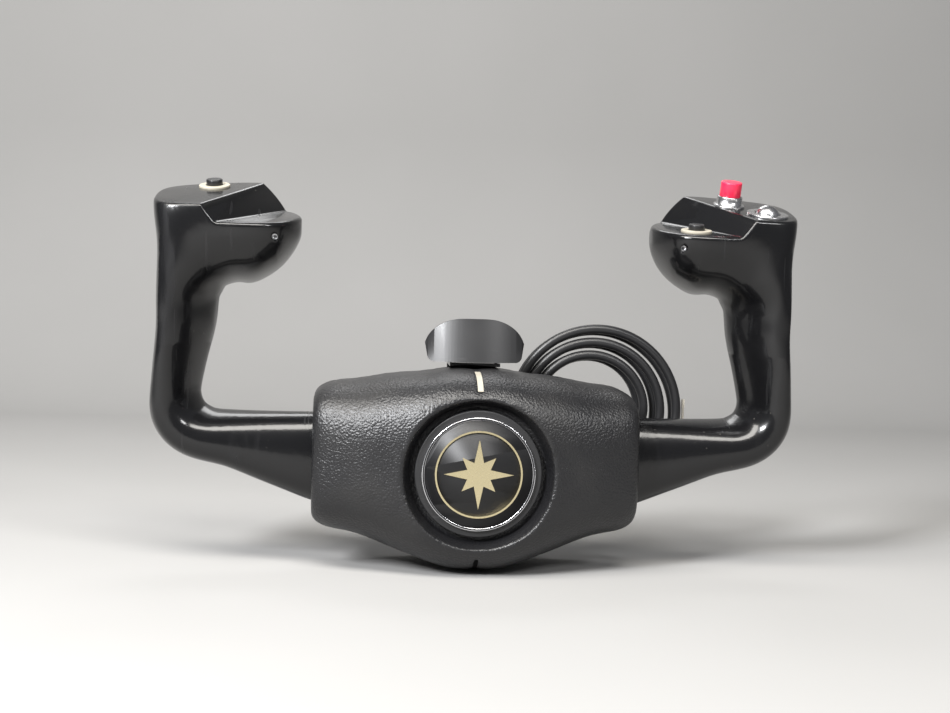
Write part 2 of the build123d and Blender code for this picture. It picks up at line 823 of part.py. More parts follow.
def spring_coil(place, height, turns, radius, wire):
    """A coil spring that rises from a workplane along its normal."""
    with BuildLine() as helix:
        Helix(height / turns, height, radius, center=place.origin, direction=place.z_dir)
    with BuildPart() as spring:
        with BuildSketch(Plane(origin=helix.line @ 0, z_dir=helix.line % 0)):
            Circle(wire)
        sweep(path=helix.line, is_frenet=True)
    return spring.part


def push_switch(name, place, cap_radius, cap_top, neck_radius, body_radius, coil_radius):
    """A push button: body with its bore, cap on a stem, return spring."""
    cap_base = -3.5
    bore_floor = cap_base - button_travel - 3.0
    foot = -head_wall - switch_length
    with BuildPart() as body:
        with BuildSketch(place.offset(-head_wall)):
            Circle(body_radius)
        extrude(amount=-switch_length)
        with BuildSketch(place.offset(-head_wall)):
            Circle(neck_radius)
        extrude(amount=head_wall)
        with BuildSketch(place):
            Circle(cap_radius + button_fit)
        extrude(amount=bore_floor, mode=Mode.SUBTRACT)
        with BuildSketch(place):
            Circle(stem_radius + button_fit)
        extrude(amount=bore_floor - 8, mode=Mode.SUBTRACT)
        with BuildSketch(place.offset(foot)):
            with GridLocations(2 * lug_share * body_radius, 0, 2, 1):
                Circle(lug_radius)
        extrude(amount=-lug_length)
    save(body.part, f"{name}_switch_body")
    with BuildPart() as cap:
        with BuildSketch(place.offset(cap_base)):
            Circle(cap_radius)
        extrude(amount=cap_top - cap_base)
        rim = cap.faces().sort_by(Axis(place.origin, place.z_dir))[-1].edges()
        fillet(rim, 0.8)
        with BuildSketch(place.offset(cap_base)):
            Circle(stem_radius)
        extrude(amount=-9.5)
    save(cap.part, f"{name}_button")
    spring_low = bore_floor + spring_wire + 0.1
    spring_high = cap_base - spring_wire - 0.1
    spring = spring_coil(place.offset(spring_low), spring_high - spring_low, 4, coil_radius, spring_wire)
    save(spring, f"{name}_button_spring")


def washer(place, inner, outer, height):
    """A flat ring standing on a facet, its outer edge rounded."""
    with BuildPart() as ring:
        with BuildSketch(place):
            Circle(outer)
            Circle(inner, mode=Mode.SUBTRACT)
        extrude(amount=height)
        rim = ring.faces().sort_by(Axis(place.origin, place.z_dir))[-1].edges().sort_by(SortBy.LENGTH)[-1]
        fillet(rim, height * 0.4)
    return ring.part


# Push buttons
push_switch("left", left_seat, button_radius, button_height, bushing_radius, switch_radius, 3.5)
push_switch("right", right_seat, button_radius, button_height, bushing_radius, switch_radius, 3.5)
push_switch("red", red_seat, red_radius, red_height, red_bushing_radius, red_switch_radius, 4.4)
save(washer(left_seat, button_radius + 0.4, ring_radius, ring_height), "left_switch_ring")
save(washer(right_seat, button_radius + 0.4, ring_radius, ring_height), "right_switch_ring")
with BuildPart() as red_collar:
    add(washer(red_seat, red_radius + 0.3, red_flange_radius, red_flange_height))
    with BuildSketch(red_seat):
        Circle(collar_radius)
        Circle(red_radius + 0.3, mode=Mode.SUBTRACT)
    extrude(amount=collar_height)
    collar_rim = red_collar.faces().sort_by(Axis(red_seat.origin, red_seat.z_dir))[-1].edges()
    fillet(collar_rim.sort_by(SortBy.LENGTH)[-1], 0.7)
save(red_collar.part, "red_switch_collar")

# Trim rocker
trim_bore_radius = rocker_radius + rocker_fit
trim_axis_place = trim_seat.offset(-rocker_drop)
pin_place = Plane(origin=trim_axis_place.origin, x_dir=trim_seat.y_dir, z_dir=trim_seat.x_dir)
trim_pin_half = trim_neck_radius - 0.3
with BuildPart() as trim_body:
    with BuildSketch(trim_seat.offset(-head_wall)):
        Circle(trim_body_radius)
    extrude(amount=-switch_length + 2)
    with BuildSketch(trim_seat.offset(-head_wall)):
        Circle(trim_neck_radius)
    extrude(amount=head_wall)
    with BuildSketch(trim_seat):
        Circle(trim_bore_radius)
    extrude(amount=-rocker_radius - rocker_drop - 0.6, mode=Mode.SUBTRACT)
    with BuildSketch(pin_place):
        Circle(trim_pin_radius + 0.02)
    extrude(amount=trim_pin_half, both=True, mode=Mode.SUBTRACT)
save(trim_body.part, "trim_switch_body")
with BuildPart() as trim_rocker:
    with Locations(trim_axis_place):
        Sphere(rocker_radius)
    split(bisect_by=trim_seat.offset(-6.5), keep=Keep.TOP)
    with BuildSketch(pin_place):
        Circle(trim_pin_radius + 0.05)
    extrude(amount=rocker_radius + 1, both=True, mode=Mode.SUBTRACT)
save(trim_rocker.part, "trim_rocker")
with BuildPart() as trim_pin:
    with BuildSketch(pin_place):
        Circle(trim_pin_radius)
    extrude(amount=trim_pin_half, both=True)
save(trim_pin.part, "trim_pin")
save(washer(trim_seat, trim_bore_radius, trim_plate_radius, trim_plate_height), "trim_plate")

# Chart clip
clip_half = clip_neck_width / 2
clip_shelf_top = clip_shelf_z + clip_plate
clip_foot_z = 36.0
ear_thickness = 2.0
ear_radius = 4.6
rib_gap = 0.3
with BuildPart() as clip_base:
    with BuildSketch(Plane.YZ.offset(-clip_half)):
        with BuildLine():
            Polyline(
                (cover_back_y, clip_foot_z),
                (cover_back_y + clip_plate, clip_foot_z),
                (cover_back_y + clip_plate, clip_shelf_top),
                (clip_front_y, clip_shelf_top),
                (clip_front_y, clip_shelf_z),
                (cover_back_y, clip_shelf_z),
                close=True,
            )
        make_face()
    extrude(amount=clip_neck_width)
    for edge_x in (-clip_half, clip_half - ear_thickness):
        with BuildSketch(Plane.YZ.offset(edge_x)):
            with Locations((clip_pin_y, clip_pin_z)):
                Circle(ear_radius)
            with Locations((clip_pin_y, (clip_pin_z + clip_shelf_top) / 2)):
                Rectangle(2 * ear_radius, clip_pin_z - clip_shelf_top)
        extrude(amount=ear_thickness)
    with BuildSketch(Plane.YZ.offset(-clip_half)):
        with Locations((clip_pin_y, clip_pin_z)):
            Circle(clip_pin_radius + 0.03)
    extrude(amount=clip_neck_width, mode=Mode.SUBTRACT)
    with BuildSketch(facing(cover_back_y + clip_plate)):
        with Locations((0, clip_screw_z)):
            with GridLocations(2 * clip_screw_x, 0, 2, 1):
                Circle(clip_screw_radius + bolt_clearance)
    extrude(amount=clip_plate, mode=Mode.SUBTRACT)
save(clip_base.part, "clip_base")
clip_screw_planes = [rear_facing(x, cover_back_y + clip_plate, clip_screw_z) for x in (-clip_screw_x, clip_screw_x)]
save(screws(clip_screw_planes, 2.8, 1.8, clip_screw_radius, clip_plate + cover_wall + 4), "clip_screws")

with BuildPart() as clip_pin:
    with BuildSketch(Plane.YZ.offset(-clip_half)):
        with Locations((clip_pin_y, clip_pin_z)):
            Circle(clip_pin_radius)
    extrude(amount=clip_neck_width)
    for edge_x in (-clip_half - 1.2, clip_half):
        with BuildSketch(Plane.YZ.offset(edge_x)):
            with Locations((clip_pin_y, clip_pin_z)):
                Circle(clip_pin_radius + 1)
        extrude(amount=1.2)
save(clip_pin.part, "clip_pin")

lever_lean = 14.0
lever_bow = 62.0
lever_lip_y = clip_front_y - 3.5
lever_half = lever_width / 2
rib_outer_x = clip_half - ear_thickness - rib_gap
rib_width = 2.2
with BuildPart() as lever_outline:
    with BuildSketch(facing(lever_lip_y - 10)):
        with BuildLine():
            edge = Polyline(
                (-lever_half, lever_bottom_z + 11),
                (-lever_half + 2, lever_bottom_z),
                (lever_half - 2, lever_bottom_z),
                (lever_half, lever_bottom_z + 11),
            )
            Spline(
                edge @ 1,
                (lever_half - 5, lever_bottom_z + 19),
                (lever_half * 0.45, lever_top_z - 0.8),
                (0, lever_top_z),
                (-lever_half * 0.45, lever_top_z - 0.8),
                (-lever_half + 5, lever_bottom_z + 19),
                edge @ 0,
            )
        make_face()
    extrude(amount=-60)
    fillet(lever_outline.edges().filter_by(Axis.Y).group_by(Axis.Z)[0], 4.0)
with BuildPart() as clip_lever:
    lean = math.radians(lever_lean)
    with BuildSketch(Plane(
        origin=(0, lever_lip_y, lever_bottom_z),
        x_dir=(1, 0, 0),
        z_dir=(0, math.sin(lean), math.cos(lean)),
    )):
        with Locations((0, lever_bow)):
            Circle(lever_bow)
            Circle(lever_bow - lever_thickness, mode=Mode.SUBTRACT)
        with Locations((0, lever_bow * 1.25)):
            Rectangle(3 * lever_bow, 2 * lever_bow, mode=Mode.SUBTRACT)
    extrude(amount=40)
    extrude(clip_lever.faces().sort_by(Axis.Z)[0], amount=10)
    add(lever_outline.part, mode=Mode.INTERSECT)
    for rib_x in (-rib_outer_x, rib_outer_x - rib_width):
        with BuildSketch(Plane.YZ.offset(rib_x)):
            with Locations((clip_pin_y, clip_pin_z)):
                Circle(ear_radius - 0.6)
            with BuildLine():
                Polyline(
                    (clip_pin_y, clip_pin_z - ear_radius + 0.6),
                    (clip_pin_y, clip_pin_z + ear_radius - 0.6),
                    (lever_lip_y + 6, clip_pin_z + 8),
                    (lever_lip_y + 3, clip_pin_z - 4),
                    close=True,
                )
            make_face()
        extrude(amount=rib_width)
    with BuildSketch(Plane.YZ.offset(-clip_half)):
        with Locations((clip_pin_y, clip_pin_z)):
            Circle(clip_pin_radius + 0.06)
    extrude(amount=clip_neck_width, mode=Mode.SUBTRACT)
save(clip_lever.part, "clip_lever")

torsion_radius = 2.8
torsion_half = rib_outer_x - rib_width - 1.2
torsion_place = Plane(origin=(-torsion_half, clip_pin_y, clip_pin_z), x_dir=(0, 1, 0), z_dir=(1, 0, 0))
save(spring_coil(torsion_place, 2 * torsion_half, 8, torsion_radius, 0.5), "clip_spring")

# Cable: gland, lead, coil, tail, connector and ties
coil_back_y = cover_back_y + coil_gap
coil_front_y = coil_back_y + coil_thickness
cable_y = (coil_back_y + coil_front_y) / 2
gland_radius = 6.6
gland_top_z = -18.0
lead_reach = 25.0
with BuildPart() as cable_gland:
    with BuildSketch(rear_facing(gland_x, cover_back_y, gland_z)):
        Circle(gland_radius + 1)
    extrude(amount=cable_y - cover_back_y + 5)
    fillet(cable_gland.faces().sort_by(Axis.Y)[-1].edges(), 1.5)
    with BuildSketch(rear_facing(gland_x, cover_back_y, gland_z)):
        Circle(gland_sleeve_radius)
    extrude(amount=-cover_wall - 2)
    with BuildSketch(Plane(origin=(gland_x, cable_y, gland_z), x_dir=(1, 0, 0), z_dir=(0, 0, 1))):
        Circle(cable_radius + 2)
    extrude(amount=gland_top_z - gland_z)
    with BuildSketch(Plane(origin=(gland_x, cable_y, gland_z + 7), x_dir=(1, 0, 0), z_dir=(0, 0, 1))):
        RegularPolygon(cable_radius + 3.2, 6)
    extrude(amount=4)
save(cable_gland.part, "cable_gland")

with BuildPart() as cable_lead:
    with BuildSketch(Plane(origin=(gland_x, cable_y, gland_top_z), x_dir=(1, 0, 0), z_dir=(0, 0, 1))):
        Circle(cable_radius)
    extrude(amount=lead_reach)
save(cable_lead.part, "cable_lead")

with BuildPart() as cable_coil:
    with BuildSketch(facing(coil_back_y)):
        with Locations((coil_x, coil_z)):
            Circle(coil_outer_radius)
        with Locations((coil_hole_x, coil_hole_z)):
            Circle(coil_hole_radius, mode=Mode.SUBTRACT)
    extrude(amount=-coil_thickness)
    fillet(cable_coil.edges().filter_by(GeomType.CIRCLE), 4.0)
save(cable_coil.part, "cable_coil")

tail_turn = math.radians(45)
tail_circle = coil_outer_radius - cable_radius
tail_way = Vector(-math.sin(tail_turn), 0, -math.cos(tail_turn))
tail_touch = Vector(
    coil_x + tail_circle * math.cos(tail_turn), cable_y, coil_z - tail_circle * math.sin(tail_turn)
)
tail_start = 10.0
plug_start = 31.0


def along_tail(distance):
    """A workplane square to the cable's tail, this far past the point where it leaves the coil."""
    return Plane(origin=tail_touch + tail_way * distance, x_dir=(0, 1, 0), z_dir=tail_way)


with BuildPart() as cable_tail:
    with BuildSketch(along_tail(tail_start)):
        Circle(cable_radius)
    extrude(amount=plug_start - tail_start)
save(cable_tail.part, "cable_tail")

backshell_length = 8.0
shell_length = 14.0
shell_radius = 5.4
coupling_length = 9.0
coupling_radius = 6.6
with BuildPart() as backshell:
    with BuildSketch(along_tail(plug_start)):
        Circle(cable_radius + 1)
    with BuildSketch(along_tail(plug_start + backshell_length)):
        Circle(shell_radius)
    loft()
save(backshell.part, "connector_backshell")
shell_start = plug_start + backshell_length
with BuildPart() as plug_shell:
    with BuildSketch(along_tail(shell_start)):
        Circle(shell_radius)
    extrude(amount=shell_length)
    with BuildSketch(along_tail(shell_start + shell_length)):
        with PolarLocations(2.8, 6):
            Circle(0.7)
    extrude(amount=-6, mode=Mode.SUBTRACT)
save(plug_shell.part, "connector_shell")
with BuildPart() as coupling:
    with BuildSketch(along_tail(shell_start + 3)):
        Circle(coupling_radius)
        Circle(shell_radius + 0.1, mode=Mode.SUBTRACT)
        with PolarLocations(coupling_radius, 18):
            Circle(0.45, mode=Mode.SUBTRACT)
    extrude(amount=coupling_length)
save(coupling.part, "connector_ring")

mount_x = 34.0
mount_width = 12.0
mount_height = 16.0
mount_thickness = coil_gap - 0.5
slot_y = cover_back_y + 1.5
slot_size = tie_thickness + 0.4
with BuildPart() as tie_mount:
    with BuildSketch(rear_facing(mount_x, cover_back_y, coil_z)):
        RectangleRounded(mount_width, mount_height, 2)
    extrude(amount=mount_thickness)
    with Locations((mount_x, slot_y + slot_size / 2, coil_z)):
        Box(mount_width + 2, slot_size, tie_width + 0.4, mode=Mode.SUBTRACT)
save(tie_mount.part, "tie_mount")

tie_back_y = slot_y + (slot_size + tie_thickness) / 2
tie_front_y = coil_front_y + 0.4
left_tie_x = (coil_x - coil_outer_radius - 0.5, coil_hole_x - coil_hole_radius + 0.7)
right_tie_z = 18.0
right_tie_x = (98.2, 132.9)
tail_length = 16.0
with BuildPart() as cable_ties:
    for z, ends in ((coil_z, left_tie_x), (right_tie_z, right_tie_x)):
        width = ends[1] - ends[0]
        depth = tie_front_y - tie_back_y
        with BuildSketch(Plane.XY.offset(z - tie_width / 2)):
            with Locations(((ends[0] + ends[1]) / 2, (tie_front_y + tie_back_y) / 2)):
                RectangleRounded(width + 2 * tie_thickness, depth + 2 * tie_thickness, 2)
                RectangleRounded(width, depth, 1, mode=Mode.SUBTRACT)
        extrude(amount=tie_width)
    with Locations((right_tie_x[1] + tie_thickness + 1.5, cable_y, right_tie_z)):
        Box(4, 5, 5)
    with Locations((right_tie_x[1] + tie_thickness + 1.2, cable_y, right_tie_z + 2.5 + tail_length / 2)):
        Box(tie_thickness, tie_width, tail_length)
    with Locations((right_tie_x[1] + tie_thickness + 1.2, cable_y, right_tie_z + 2.5 + tail_length)):
        Box(tie_thickness + 0.5, tie_width, 5)
    with Locations((left_tie_x[0] + 6, tie_front_y + tie_thickness + 1.5, coil_z)):
        Box(5, 4, 5)
save(cable_ties.part, "cable_ties")

with BuildLine() as lead_route:
    FilletPolyline(
        (lead_x, lead_y, 0),
        (lead_x, lead_y, lead_drop_z),
        (lead_x, -31, lead_drop_z),
        (gland_x, -31, gland_z),
        (gland_x, cover_back_y - cover_wall - 2, gland_z),
        radius=[4, 5, 4],
    )
save(round_along(lead_route.wire(), lead_radius), "inner_lead")
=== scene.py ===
"""Aircraft control yoke: finishes, cable and studio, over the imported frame."""
import json
import math

import bmesh
import bpy
from mathutils import Matrix, Quaternion, Vector, kdtree, noise


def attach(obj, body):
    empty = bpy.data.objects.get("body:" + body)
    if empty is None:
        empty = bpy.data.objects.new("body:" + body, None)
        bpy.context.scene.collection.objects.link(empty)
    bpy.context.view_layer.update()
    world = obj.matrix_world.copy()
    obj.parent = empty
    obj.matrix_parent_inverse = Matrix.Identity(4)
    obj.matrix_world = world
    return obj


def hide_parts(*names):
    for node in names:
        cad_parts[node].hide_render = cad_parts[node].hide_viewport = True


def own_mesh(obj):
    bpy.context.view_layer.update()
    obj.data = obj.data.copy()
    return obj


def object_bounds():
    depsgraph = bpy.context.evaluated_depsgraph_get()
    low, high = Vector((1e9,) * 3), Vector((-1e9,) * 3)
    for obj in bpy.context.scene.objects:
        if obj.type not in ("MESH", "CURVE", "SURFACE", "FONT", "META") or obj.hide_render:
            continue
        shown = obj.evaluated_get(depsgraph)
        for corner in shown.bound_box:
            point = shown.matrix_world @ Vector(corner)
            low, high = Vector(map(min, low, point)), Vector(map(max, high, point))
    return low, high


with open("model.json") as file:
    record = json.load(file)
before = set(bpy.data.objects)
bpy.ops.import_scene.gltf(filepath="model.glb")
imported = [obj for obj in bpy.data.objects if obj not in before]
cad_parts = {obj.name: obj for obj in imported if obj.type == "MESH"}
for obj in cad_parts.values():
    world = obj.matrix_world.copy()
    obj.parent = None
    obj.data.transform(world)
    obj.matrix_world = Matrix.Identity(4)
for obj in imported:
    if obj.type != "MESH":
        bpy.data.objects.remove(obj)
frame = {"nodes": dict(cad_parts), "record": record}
cad_low, cad_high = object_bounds()
NODES = frame["nodes"]
MM = 0.001

# Where the photograph was taken from
VIEW_TARGET = Vector((-0.00103, -0.06001, 0.06611))
VIEW_DISTANCE = 0.90
VIEW_AZIMUTH = -4.7
VIEW_ELEVATION = 3.5
VIEW_ROLL = 1.6
VIEW_LENS = 57.9

# The free cable: gland outlet, coil and plug
CABLE_RADIUS = 2.9
GLAND_OUTLET = (34.0, -10.5, -18.0)
GLAND_LEAD = ((0.0, 0.0, 0.0), (0.0, 0.0, 8.0), (0.0, -0.8, 15.0), (-0.2, -2.4, 21.5), (-1.8, -4.0, 29.0))
COIL_CENTRE = (79.0, 31.2)
COIL_RADIUS = 51.6
COIL_FRONT = -15.1
COIL_PITCH = 6.15
COIL_FAN = 0.7
COIL_START = 212.0
COIL_END = -45.0
TURN_POINTS = 20
LANES = ((0, 0), (1, 0), (2, 0), (2, 1), (1, 1), (0, 1))
TAIL_TOUCH = (115.49, -10.5, -5.29)
TAIL_WAY = (-0.7071, 0.0, -0.7071)
TAIL_STEPS = (7.0, 14.0, 21.0, 31.0)
RING_START = 42.0
RING_LENGTH = 9.0
RING_RADIUS = 6.6
RING_RIBS = 18
RIB_SIDES = 10
RIB_RADIUS = 0.38
RIB_SINK = 0.1
RIB_END_GAP = 0.8

# The horns
HORN_NODES = ("left_horn", "right_horn")
NECK_REACH = 9.0
NECK_SIDE = (118.0, 184.0)
NECK_HEIGHT = (70.0, 132.0)
NECK_AGREE = 0.55

# The medallion and the pad round it
MEDAL_HEIGHT = 1.2
RING_DARK = (31.15, 32.05)
RECESS_RADIUS = 43.0
RECESS_FADE = 8.0
STRIP_HALF = 3.5
STRIP_FADE = 6.0
HELD_BEHIND = -66.0
HELD_FADE = 6.0
PAD_VOXEL = 1.3
PAD_SMOOTHINGS = 2

# Unevenness of the pad's skin: waves per metre and height in mm
SWELL_SLOW = (32.0, 0.22)
SWELL_MEDIUM = (95.0, 0.09)
SWELL_WRINKLE = (60.0, 0.05)

# The paper sweep, in metres
SWEEP_HALF = 3.0
SWEEP_NEAR = -2.4
SWEEP_BEND_START = 0.75
SWEEP_BEND = 0.35
SWEEP_BEND_STEPS = 24
SWEEP_RISE = 2.4

# Nodes that the cable takes the place of, nodes of its plug, and finishes that aren't a node's slot
CABLE_NODES = ("cable_lead", "cable_coil", "cable_tail")
PLUG_NODES = ("connector_backshell", "connector_shell", "connector_ring")
OWN_FINISH = {"medallion_ring": "medallion_ring_trim", "seam_strip": "seam_shadow"}

# Gap that is welded between a node's loose triangles, in mm
WELD_GAP = 0.002


def body_of_node(name):
    for body, members in frame["record"]["behaviour"]["bodies"].items():
        if name in members:
            return body
    raise KeyError(name)


def link(piece):
    bpy.context.scene.collection.objects.link(piece)
    return piece


def aim_camera():
    data = bpy.data.cameras.new("photo_camera")
    data.sensor_width = 36.0
    data.lens = VIEW_LENS
    camera = link(bpy.data.objects.new("photo_camera", data))
    turn = math.radians(VIEW_AZIMUTH)
    rise = math.radians(VIEW_ELEVATION)
    away = Vector((math.sin(turn) * math.cos(rise), -math.cos(turn) * math.cos(rise), math.sin(rise)))
    camera.location = VIEW_TARGET + away * VIEW_DISTANCE
    look = (-away).to_track_quat("-Z", "Y")
    camera.rotation_mode = "QUATERNION"
    camera.rotation_quaternion = look @ Quaternion((0.0, 0.0, 1.0), math.radians(VIEW_ROLL))
    bpy.context.scene.camera = camera


# Shader sockets with arithmetic

class Wire:
    """One output socket; arithmetic on it adds Math nodes."""

    def __init__(self, finish, socket):
        self.finish = finish
        self.socket = socket

    def maths(self, operation, first, second):
        made = self.finish.node("ShaderNodeMath", {"operation": operation}, {0: first, 1: second})
        return Wire(self.finish, made.outputs[0])

    def __add__(self, other):
        return self.maths("ADD", self, other)

    def __sub__(self, other):
        return self.maths("SUBTRACT", self, other)

    def __mul__(self, other):
        return self.maths("MULTIPLY", self, other)

    def __pow__(self, other):
        return self.maths("POWER", self, other)

    def __rsub__(self, other):
        return self.maths("SUBTRACT", other, self)

    __radd__ = __add__
    __rmul__ = __mul__


class Finish:
    """A node material on a Principled shader."""

    def __init__(self, name, **constants):
        self.material = bpy.data.materials.new(name)
        self.material.use_nodes = True
        self.tree = self.material.node_tree
        self.shader = self.tree.nodes["Principled BSDF"]
        self.coords = None
        self.paint(**constants)

    def feed(self, socket, value):
        if isinstance(value, Wire):
            self.tree.links.new(value.socket, socket)
        elif isinstance(value, tuple) and len(value) == 3 and socket.type == "RGBA":
            socket.default_value = (*value, 1.0)
        else:
            socket.default_value = value

    def node(self, kind, settings=None, sockets=None):
        made = self.tree.nodes.new(kind)
        for key, value in (settings or {}).items():
            setattr(made, key, value)
        for key, value in (sockets or {}).items():
            self.feed(made.inputs[key], value)
        return made

    def paint(self, **sockets):
        for socket, value in sockets.items():
            self.feed(self.shader.inputs[socket.replace("_", " ").title()], value)
        return self.material

    def place(self, stretch=(1.0, 1.0, 1.0), turn=(0.0, 0.0, 0.0)):
        if self.coords is None:
            self.coords = self.node("ShaderNodeTexCoord")
        mapped = self.node(
            "ShaderNodeMapping", None,
            {"Vector": Wire(self, self.coords.outputs["Object"]), "Scale": stretch, "Rotation": turn},
        )
        return Wire(self, mapped.outputs["Vector"])

    def noise(self, scale, detail=3.0, stretch=(1.0, 1.0, 1.0), turn=(0.0, 0.0, 0.0)):
        made = self.node(
            "ShaderNodeTexNoise", None,
            {"Vector": self.place(stretch, turn), "Scale": scale, "Detail": detail},
        )
        return Wire(self, made.outputs["Fac"])

    def cells(self, scale, feature="F1", stretch=(1.0, 1.0, 1.0), turn=(0.0, 0.0, 0.0)):
        made = self.node(
            "ShaderNodeTexVoronoi", {"feature": feature},
            {"Vector": self.place(stretch, turn), "Scale": scale},
        )
        return Wire(self, made.outputs["Distance"])

    def span(self, value, low, high, bottom=0.0, top=1.0):
        made = self.node(
            "ShaderNodeMapRange", {"interpolation_type": "SMOOTHSTEP"},
            {"Value": value, "From Min": low, "From Max": high, "To Min": bottom, "To Max": top},
        )
        return Wire(self, made.outputs["Result"])

    def mix(self, factor, first, second):
        made = self.node("ShaderNodeMix", {"data_type": "RGBA"})
        self.feed(made.inputs[0], factor)
        self.feed(made.inputs[6], first)
        self.feed(made.inputs[7], second)
        return Wire(self, made.outputs[2])

    def across(self, low, high, height):
        """1 between two radii about the medallion's axis, in mm, and 0 elsewhere."""
        parts = self.node("ShaderNodeSeparateXYZ", None, {0: self.place()})
        side = Wire(self, parts.outputs["X"])
        rise = Wire(self, parts.outputs["Z"]) - height * MM
        radius = (side * side + rise * rise) ** 0.5
        soft = 0.12 * MM
        inside = self.span(radius, low * MM - soft, low * MM + soft)
        return inside * self.span(radius, high * MM - soft, high * MM + soft, 1.0, 0.0)

    def bump(self, height, strength, depth):
        made = self.node(
            "ShaderNodeBump", None, {"Height": height, "Strength": strength, "Distance": depth},
        )
        return Wire(self, made.outputs["Normal"])


# Finishes

def enamel_finish():
    finish = Finish("black_enamel", coat_roughness=0.05)
    finish.shader.inputs["Specular IOR Level"].default_value = 0.34
    cloud = finish.noise(34.0, 4.0)
    fine = finish.noise(420.0, 3.0)
    scuff = finish.span(finish.noise(70.0, 8.0, (1.0, 1.0, 0.16), (0.3, 0.5, 0.2)), 0.60, 0.74)
    hair = finish.span(finish.noise(260.0, 2.0, (1.0, 0.12, 0.05), (0.5, 0.2, 0.9)), 0.68, 0.72)
    speck = finish.span(finish.cells(190.0), 0.085, 0.045) * finish.span(finish.noise(16.0, 2.0), 0.52, 0.62)
    rubbed = finish.mix(scuff * 0.5 + hair * 0.4, (0.0045, 0.0045, 0.005), (0.016, 0.016, 0.017))
    colour = finish.mix(speck * 0.6, rubbed, (0.13, 0.12, 0.105))
    return finish.paint(
        base_color=colour,
        roughness=0.17 + cloud * 0.08 + scuff * 0.10 + hair * 0.10 + speck * 0.2,
        coat_weight=0.34 - scuff * 0.20,
        normal=finish.bump(fine + hair * -0.6 + speck * -1.2, 0.035, 0.0004),
    )


def leather_finish():
    finish = Finish("pad_leather")
    pebble = finish.cells(880.0, "SMOOTH_F1", (1.0, 0.8, 1.0))
    grain = finish.noise(1700.0, 3.0)
    from_edge = finish.cells(330.0, "DISTANCE_TO_EDGE", (0.8, 0.6, 1.2), (0.0, 0.35, 0.0))
    crease = 1.0 - finish.span(from_edge, 0.0, 0.10)
    wander = finish.span(finish.noise(30.0, 3.0), 0.42, 0.66)
    worn = finish.span(finish.noise(20.0, 4.0), 0.45, 0.75)
    colour = finish.mix(worn, (0.009, 0.009, 0.010), (0.017, 0.0165, 0.0165))
    # painted shade: the leather's colour is darkened along the crease network, where shade would fall
    crease_shaded = finish.mix(crease * wander * 0.4, colour, (0.006, 0.006, 0.007))
    height = grain * 0.20 - pebble * 1.0 - crease * wander * 0.22
    return finish.paint(
        base_color=crease_shaded,
        roughness=0.33 + grain * 0.08 + worn * 0.05,
        normal=finish.bump(height, 0.48, 0.0007),
    )


def ring_finish():
    """Two bright lines with a black groove between them."""
    finish = Finish("medallion_ring_trim")
    groove = finish.across(*RING_DARK, MEDAL_HEIGHT)
    cloud = finish.noise(90.0, 4.0)
    return finish.paint(
        base_color=finish.mix(groove, (0.72, 0.72, 0.74), (0.006, 0.006, 0.007)),
        metallic=1.0 - groove,
        roughness=0.12 + cloud * 0.10 + groove * 0.2,
    )


def seam_finish():
    """The bottom of a narrow groove: almost no light comes back."""
    finish = Finish("seam_shadow", base_color=(0.0012, 0.0012, 0.0013), roughness=0.85)
    finish.shader.inputs["Specular IOR Level"].default_value = 0.08
    return finish.material


def smooth_plastic(name, colour, roughness, coat=0.0, mottling=0.25):
    finish = Finish(name, coat_weight=coat, coat_roughness=0.08)
    cloud = finish.noise(60.0, 5.0)
    fine = finish.noise(1400.0, 2.0)
    scratch = finish.span(finish.noise(300.0, 3.0, (0.08, 1.0, 1.0), (0.2, 0.4, 0.6)), 0.66, 0.72)
    darker = tuple(c * (1.0 - mottling) for c in colour)
    shade = finish.mix(cloud, darker, colour)
    return finish.paint(
        base_color=finish.mix(scratch * 0.25, shade, tuple(min(1.0, c * 1.7 + 0.01) for c in colour)),
        roughness=roughness + cloud * 0.08 + scratch * 0.12,
        normal=finish.bump(fine - scratch * 0.8, 0.05, 0.0002),
    )


def metal_finish(name, colour, roughness, grain=(1.0, 1.0, 1.0), worn=0.15):
    finish = Finish(name, metallic=1.0)
    brush = finish.noise(900.0, 4.0, grain)
    cloud = finish.noise(90.0, 5.0)
    pit = finish.span(finish.cells(700.0), 0.16, 0.06) * finish.span(cloud, 0.5, 0.65)
    dull = tuple(c * (1.0 - worn) for c in colour)
    return finish.paint(
        base_color=finish.mix(cloud * 0.6 + pit * 0.4, colour, dull),
        roughness=roughness + brush * 0.12 + cloud * 0.06 + pit * 0.2,
        normal=finish.bump(brush - pit, 0.06, 0.0002),
    )


def rubber_finish():
    finish = Finish("cable_rubber")
    cloud = finish.noise(55.0, 5.0)
    fine = finish.noise(1100.0, 3.0)
    dust = finish.span(finish.noise(24.0, 6.0), 0.55, 0.80)
    return finish.paint(
        base_color=finish.mix(dust * 0.5, (0.014, 0.014, 0.015), (0.040, 0.039, 0.037)),
        roughness=0.30 + cloud * 0.12 + dust * 0.12,
        normal=finish.bump(fine + cloud * 0.6, 0.08, 0.0003),
    )


